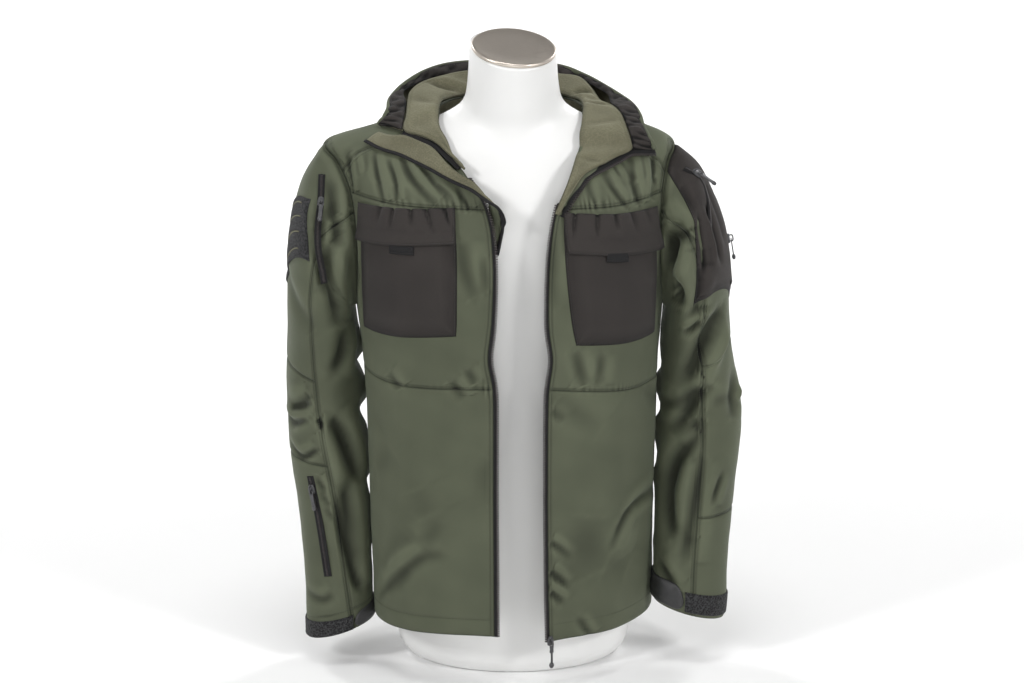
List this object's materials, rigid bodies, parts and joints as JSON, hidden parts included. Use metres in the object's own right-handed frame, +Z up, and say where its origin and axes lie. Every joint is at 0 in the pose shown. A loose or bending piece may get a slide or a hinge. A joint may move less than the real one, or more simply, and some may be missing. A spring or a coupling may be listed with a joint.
{
  "type": "softshell jacket on dress form",
  "caption": "Hooded softshell jacket with fleece lining, chest and arm pockets and strap cuffs, worn open on a smooth limbless dress form with a steel neck cap.",
  "frame": {"origin": "centre of the dress form's flat underside, on the surface that it stands on", "axes": "+Z up through the neck, -Y out of the jacket's open front, +X towards the wearer's left arm"},
  "size_m": [0.6141, 0.3384, 0.8655],
  "materials": {
    "softshell": "smooth stretch weave with a soft sheen, olive green",
    "fleece": "short brushed pile, light olive",
    "pack_cloth": "coarse matt plain weave, charcoal",
    "zip_coil": "woven tape with moulded teeth, black",
    "loop_pile": "hook-and-loop pile, black",
    "cuff_rubber": "moulded matt rubber, dark grey",
    "zip_metal": "satin grey lacquer over cast zinc",
    "form_shell": "satin white shell",
    "neck_cap": "brushed, bright rim"
  },
  "bodies": {
    "root": {"left_front_skirt": "softshell", "left_front_chest": "softshell", "left_front_yoke": "softshell", "left_zip_tape": "zip_coil", "right_front_skirt": "softshell", "right_front_chest": "softshell", "right_front_yoke": "softshell", "right_zip_tape": "zip_coil", "back_panel": "softshell", "back_yoke": "softshell", "left_upper_sleeve": "softshell", "left_elbow_panel": "softshell", "left_forearm": "softshell", "left_under_sleeve": "softshell", "right_upper_sleeve": "softshell", "right_elbow_panel": "softshell", "right_forearm": "softshell", "right_under_sleeve": "softshell", "collar": "fleece", "hood_facing": "pack_cloth", "hood": "softshell", "storm_flap": "softshell", "right_lapel_zip": "zip_coil", "left_lapel_zip": "zip_coil", "right_chest_pocket": "pack_cloth", "right_pocket_flap": "pack_cloth", "right_flap_tab": "pack_cloth", "left_chest_pocket": "pack_cloth", "left_pocket_flap": "pack_cloth", "left_flap_tab": "pack_cloth", "right_cuff_band": "loop_pile", "right_cuff_tab": "cuff_rubber", "left_cuff_band": "loop_pile", "left_cuff_tab": "cuff_rubber", "right_loop_patch": "loop_pile", "left_arm_pocket": "pack_cloth", "right_arm_zip_tape": "zip_coil", "right_arm_slider": "zip_metal", "right_forearm_zip_tape": "zip_coil", "right_forearm_slider": "zip_metal", "left_arm_front_zip_tape": "zip_coil", "left_arm_front_slider": "zip_metal", "left_arm_rear_zip_tape": "zip_coil", "left_arm_rear_slider": "zip_metal", "zip_slider": "zip_metal", "form_body": "form_shell", "form_cap": "neck_cap"},
    "main_pull": {"zip_pull": "zip_metal"},
    "right_arm_pull_body": {"right_arm_pull": "zip_metal"},
    "right_forearm_pull_body": {"right_forearm_pull": "zip_metal"},
    "left_arm_front_pull_body": {"left_arm_front_pull": "zip_metal"},
    "left_arm_rear_pull_body": {"left_arm_rear_pull": "zip_metal"}
  },
  "joints": [
    {"name": "main_pull_swing", "type": "hinge", "parent": "root", "child": "main_pull", "pos_m": [0.05183, -0.15745, 0.06865], "axis": [-0.8901, -0.4558, 0], "range_deg": [0, 120]},
    {"name": "right_arm_pull_swing", "type": "hinge", "parent": "root", "child": "right_arm_pull_body", "pos_m": [-0.2514, -0.06778, 0.6572], "axis": [-0.9769, -0.1275, 0.1716], "range_deg": [0, 120]},
    {"name": "right_forearm_pull_swing", "type": "hinge", "parent": "root", "child": "right_forearm_pull_body", "pos_m": [-0.27292, -0.07056, 0.25315], "axis": [-0.8343, 0.5035, -0.2245], "range_deg": [0, 120]},
    {"name": "left_arm_front_pull_swing", "type": "hinge", "parent": "root", "child": "left_arm_front_pull_body", "pos_m": [0.24516, -0.03921, 0.68902], "axis": [-0.259, -0.9009, -0.3482], "range_deg": [0, 120]},
    {"name": "left_arm_rear_pull_swing", "type": "hinge", "parent": "root", "child": "left_arm_rear_pull_body", "pos_m": [0.29114, -0.00666, 0.58818], "axis": [-0.0411, -0.9957, 0.0829], "range_deg": [0, 120]}
  ]
}
